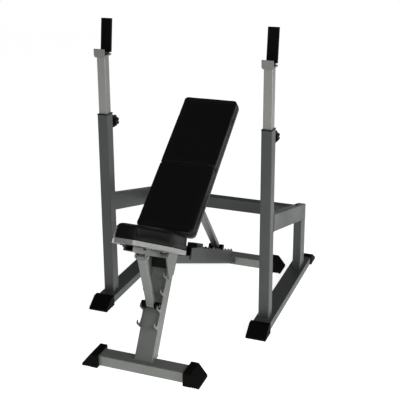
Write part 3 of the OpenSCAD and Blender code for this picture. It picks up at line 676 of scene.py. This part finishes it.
# %% Rows from the tree
def grow_row(name, paths, spacing, length, width, unevenness, seed, material):
    """Runs the tree over lists of points and keeps the result as one plain mesh object."""
    mesh = bpy.data.meshes.new(name + "_path")
    points, edges = [], []
    for path in paths:
        start = len(points)
        points += path
        edges += [(start + i, start + i + 1) for i in range(len(path) - 1)]
    mesh.from_pydata([tuple(p) for p in points], edges, [])
    holder = bpy.data.objects.new(name + "_holder", mesh)
    scene.collection.objects.link(holder)
    modifier = holder.modifiers.new("beads", "NODES")
    modifier.node_group = bead_tree
    values = {"Spacing": spacing, "Length": length, "Width": width, "Unevenness": unevenness, "Seed": seed,
              "Finish": material}
    for item in bead_tree.interface.items_tree:
        if item.in_out == "INPUT" and item.name in values:
            modifier[item.identifier] = values[item.name]
    made = bpy.data.meshes.new_from_object(holder.evaluated_get(bpy.context.evaluated_depsgraph_get()))
    bpy.data.objects.remove(holder)
    for face in made.polygons:
        face.use_smooth = True
    row = bpy.data.objects.new(name, made)
    scene.collection.objects.link(row)
    print(name, len(made.polygons), "faces")
    return row


# %% [markdown]
# The cross seam of the backrest is topstitched on both sides. The stitches lie on the swollen face, so their
# height is read from the finished pad by casting rays down onto it.


# %% Topstitching
STITCH_LENGTH = 0.0038
STITCH_GAP = 0.0056
STITCH_WIDTH = 0.0011
STITCH_OFFSET = 0.0075


def face_line(pad, y, half, sink):
    """Points across a pad's face at y, lying on the skin."""
    line = []
    for i in range(61):
        x = -half + 2 * half * i / 60
        hit, where, _, _ = pad.ray_cast(Vector((x, y, 0.1)), Vector((0.0, 0.0, -1.0)))
        if hit:
            line.append(where - Vector((0.0, 0.0, sink)))
    return line


bpy.context.view_layer.update()
stitch_paths = [
    face_line(back_cover, BACK_SEAM + side * STITCH_OFFSET, PAD_WIDTH / 2 - 0.014, 0.0001) for side in (-1, 1)
]
back_stitches = grow_row(
    "backrest_stitches", stitch_paths, STITCH_GAP, STITCH_LENGTH, STITCH_WIDTH, 0.1, 3, thread)
back_stitches.data.transform(back_place)

# %% Put the pads in place
lay(back_cover, back_place, BACK_THICK)
lay(seat_cover, seat_place, SEAT_THICK)
for cover in (back_cover, seat_cover):
    cover.data.materials.clear()
    cover.data.materials.append(finishes["black_vinyl"])

# %% [markdown]
# ## Weld beads
# Every tube of the rack and the bench is welded to the next one. A bead with its ripples runs round the feet
# of the uprights and rear posts, the front ends of the side rails, the foot of the leg and the rear end of
# the beam. The paths are the outlines of these joints, worked out from the boxes of the CAD nodes.

# %% Weld paths
BEAD_SPACING = 0.0028
BEAD_WIDTH = 0.0065
BEAD_LENGTH = 0.0048


def ring(low, high, z):
    """A closed rectangle at height z round a box's footprint."""
    return [Vector((low.x, low.y, z)), Vector((high.x, low.y, z)), Vector((high.x, high.y, z)),
            Vector((low.x, high.y, z)), Vector((low.x, low.y, z))]


def end_loop(low, high, y):
    """A closed upright rectangle at depth y round a box's section."""
    return [Vector((low.x, y, low.z)), Vector((high.x, y, low.z)), Vector((high.x, y, high.z)),
            Vector((low.x, y, high.z)), Vector((low.x, y, low.z))]


def section_at(node, y, reach=0.012):
    """Lowest and highest corner of a node's points near a depth."""
    near = [v.co for v in nodes[node].data.vertices if abs(v.co.y - y) < reach]
    return Vector(map(min, zip(*near))), Vector(map(max, zip(*near)))


rack_welds = []
for side in ("left", "right"):
    for post in (side + "_upright", side + "_rear_post"):
        low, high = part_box(post)
        rack_welds.append(ring(low, high, low.z))
    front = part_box(side + "_side_rail")[0].y
    rack_welds.append(end_loop(*section_at(side + "_side_rail", front), front))
foot_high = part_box("bench_front_foot")[1].z
leg_base = [v.co for v in nodes["front_leg"].data.vertices if v.co.z < foot_high + 0.001]
leg_low = Vector(map(min, zip(*leg_base)))
leg_high = Vector(map(max, zip(*leg_base)))
bench_welds = [ring(leg_low, leg_high, foot_high)]
beam_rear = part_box("main_beam")[1].y
bench_welds.append(end_loop(*section_at("main_beam", beam_rear, 0.002), beam_rear))
rack_beads = grow_row("rack_weld_beads", rack_welds, BEAD_SPACING, BEAD_LENGTH, BEAD_WIDTH, 0.25, 5,
                      finishes["frame_paint"])
bench_beads = grow_row("bench_weld_beads", bench_welds, BEAD_SPACING, BEAD_LENGTH, BEAD_WIDTH, 0.25, 8,
                       finishes["bench_paint"])

# %% [markdown]
# ## Ride on the bodies
# Each new piece moves with the body that it belongs to. The covers stand for the plain CAD pads, which are
# hidden.

# %% Ride and replace
for piece, body, slot in (
    (back_cover, "backrest", "black_vinyl"),
    (back_stitches, "backrest", "black_vinyl"),
    (seat_cover, "seat", "black_vinyl"),
    (rack_beads, "rack", "frame_paint"),
    (bench_beads, "bench", "bench_paint"),
):
    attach(piece, body)
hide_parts("back_pad")
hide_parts("seat_pad")

# %% [markdown]
# ## Floor, light and camera
# A white floor that glows a little and runs past the frame, a sky that looks white but lights weakly, one
# large light from the right and a weaker one high in front. The right-hand faces of the tubes catch more
# light than their fronts.

# %% Floor
FLOOR_HALF = 9.0
FLOOR_GLOW = 0.8
floor_mesh = bpy.data.meshes.new("floor")
floor_mesh.from_pydata(
    [(-FLOOR_HALF, -FLOOR_HALF, 0.0), (FLOOR_HALF, -FLOOR_HALF, 0.0),
     (FLOOR_HALF, FLOOR_HALF, 0.0), (-FLOOR_HALF, FLOOR_HALF, 0.0)], [], [(0, 1, 2, 3)])
floor = bpy.data.objects.new("floor", floor_mesh)
scene.collection.objects.link(floor)
floor.data.materials.append(finish(
    "pale floor", (0.93, 0.93, 0.93), (0.95, 0.95, 0.95), 0.7, 0.8, 0.02,
    scale=200.0, dusty=0.0, level=0.1))
paper_glow = floor.data.materials[0].node_tree.nodes["Principled BSDF"]
paper_glow.inputs["Emission Color"].default_value = (1.0, 1.0, 1.0, 1.0)
paper_glow.inputs["Emission Strength"].default_value = FLOOR_GLOW

# %% Sky
SKY_LIGHT = 0.2
world = bpy.data.worlds.new("studio")
scene.world = world
world.use_nodes = True
sky = world.node_tree
room = sky.nodes["Background"]
room.inputs["Color"].default_value = (1.0, 1.0, 1.0, 1.0)
room.inputs["Strength"].default_value = SKY_LIGHT
paper = add(sky, "ShaderNodeBackground", Color=(1.0, 1.0, 1.0, 1.0), Strength=1.0)
seen = add(sky, "ShaderNodeLightPath")
backdrop = add(sky, "ShaderNodeMixShader", n0=seen.outputs["Is Camera Ray"],
               n1=room.outputs["Background"], n2=paper.outputs["Background"])
sky.links.new(backdrop.outputs["Shader"], sky.nodes["World Output"].inputs["Surface"])


# %% Lights
def soft_light(name, place, aim, size, power):
    """A square area light that faces a point."""
    data = bpy.data.lights.new(name, "AREA")
    data.size = size
    data.energy = power
    light = bpy.data.objects.new(name, data)
    light.location = place
    light.rotation_mode = "QUATERNION"
    light.rotation_quaternion = (Vector(aim) - Vector(place)).to_track_quat("-Z", "Y")
    scene.collection.objects.link(light)
    return light


middle = (cad_box[0] + cad_box[1]) / 2
soft_light("key", (3.5, -1.9, 1.8), middle, 1.8, 80.0)
soft_light("front", (0.6, -4.6, 3.6), middle, 2.2, 26.0)

# %% [markdown]
# The camera stands in front and to the right, above eye height, and looks down on the bench. A lens shift
# keeps the uprights from leaning much.

# %% Camera
CAMERA_AZIMUTH = math.radians(20.09)
CAMERA_ELEVATION = math.radians(16.29)
CAMERA_LENS = 73.9
CAMERA_PLACE = Vector((1.643, -4.061, 2.299))
CAMERA_SHIFT = (-0.0375, -0.15)
back = Vector((
    math.sin(CAMERA_AZIMUTH) * math.cos(CAMERA_ELEVATION),
    -math.cos(CAMERA_AZIMUTH) * math.cos(CAMERA_ELEVATION),
    math.sin(CAMERA_ELEVATION),
))
camera_data = bpy.data.cameras.new("camera")
camera_data.lens = CAMERA_LENS
camera_data.sensor_width = 36.0
camera_data.shift_x, camera_data.shift_y = CAMERA_SHIFT
camera_data.clip_end = 60.0
camera = bpy.data.objects.new("camera", camera_data)
camera.location = CAMERA_PLACE
camera.rotation_mode = "QUATERNION"
camera.rotation_quaternion = (-back).to_track_quat("-Z", "Y")
scene.collection.objects.link(camera)
scene.camera = camera
